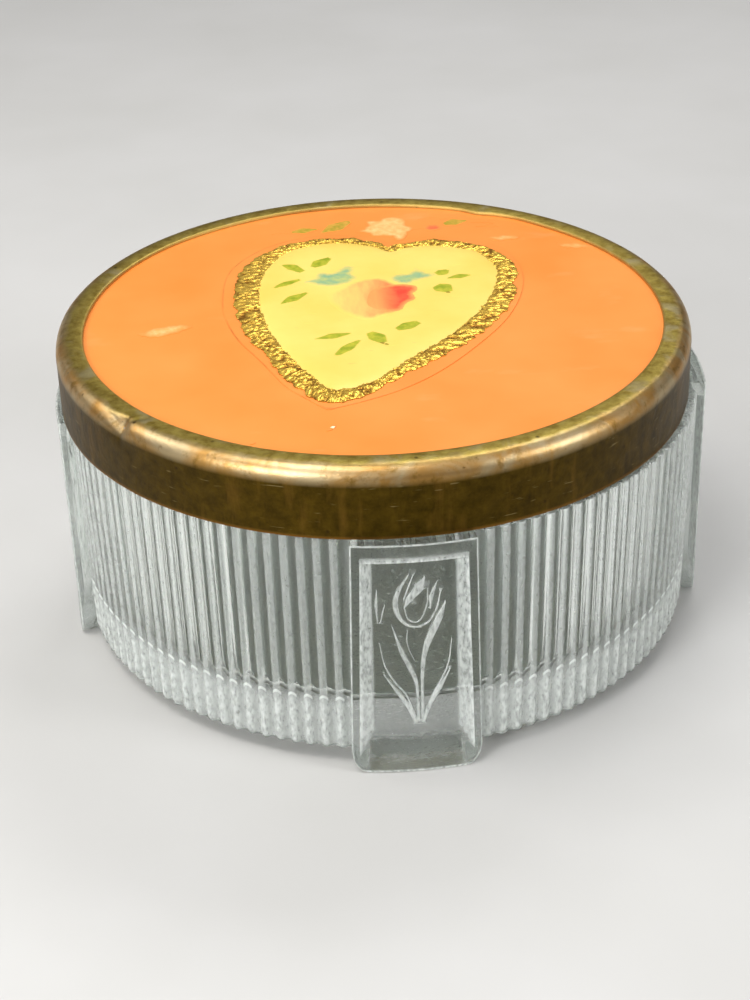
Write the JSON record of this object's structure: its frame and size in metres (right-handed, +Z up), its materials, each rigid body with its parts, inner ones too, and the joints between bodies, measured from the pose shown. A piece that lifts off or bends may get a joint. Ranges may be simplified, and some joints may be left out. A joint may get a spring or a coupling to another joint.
{
  "type": "powder jar",
  "caption": "Round clear pressed-glass powder jar with ribbed walls, tulip panels that end in feet, and a loose brass-rimmed celluloid lid with a painted heart.",
  "frame": {"origin": "centre of the bowl at the height the feet stand on", "axes": "+Z up along the bowl's axis, -Y towards the front tulip panel, +X to that panel's right"},
  "size_m": [0.1142, 0.1142, 0.0561],
  "materials": {
    "clear_glass": "clear pressed glass, fire-polished, faintly grey-green in the thick base",
    "aged_brass": "thin spun brass, olive-gold with brown tarnish on the skirt and a worn bright shoulder",
    "peach_celluloid": "glossy peach-orange celluloid, slightly mottled",
    "film_celluloid": "thin peach film, glossy",
    "gold_foil": "crinkled gold foil with bright glints",
    "cream_celluloid": "cream-yellow celluloid with hand-painted flowers and leaves",
    "grey_card": "plain pressed card",
    "cream_paper": "smooth lining paper",
    "spring_wire": "drawn spring wire"
  },
  "bodies": {
    "bowl": {"glass_bowl": "clear_glass"},
    "lid": {"lid_rim": "aged_brass", "lid_panel": "peach_celluloid", "heart_backing": "film_celluloid", "foil_border": "gold_foil", "heart_plaque": "cream_celluloid", "backing_card": "grey_card", "lid_lining": "cream_paper", "retaining_ring": "spring_wire"}
  },
  "joints": [
    {"name": "lid_lift", "type": "slide", "parent": "bowl", "child": "lid", "axis": [0, 0, 1], "range_m": [0, 0.04]}
  ]
}
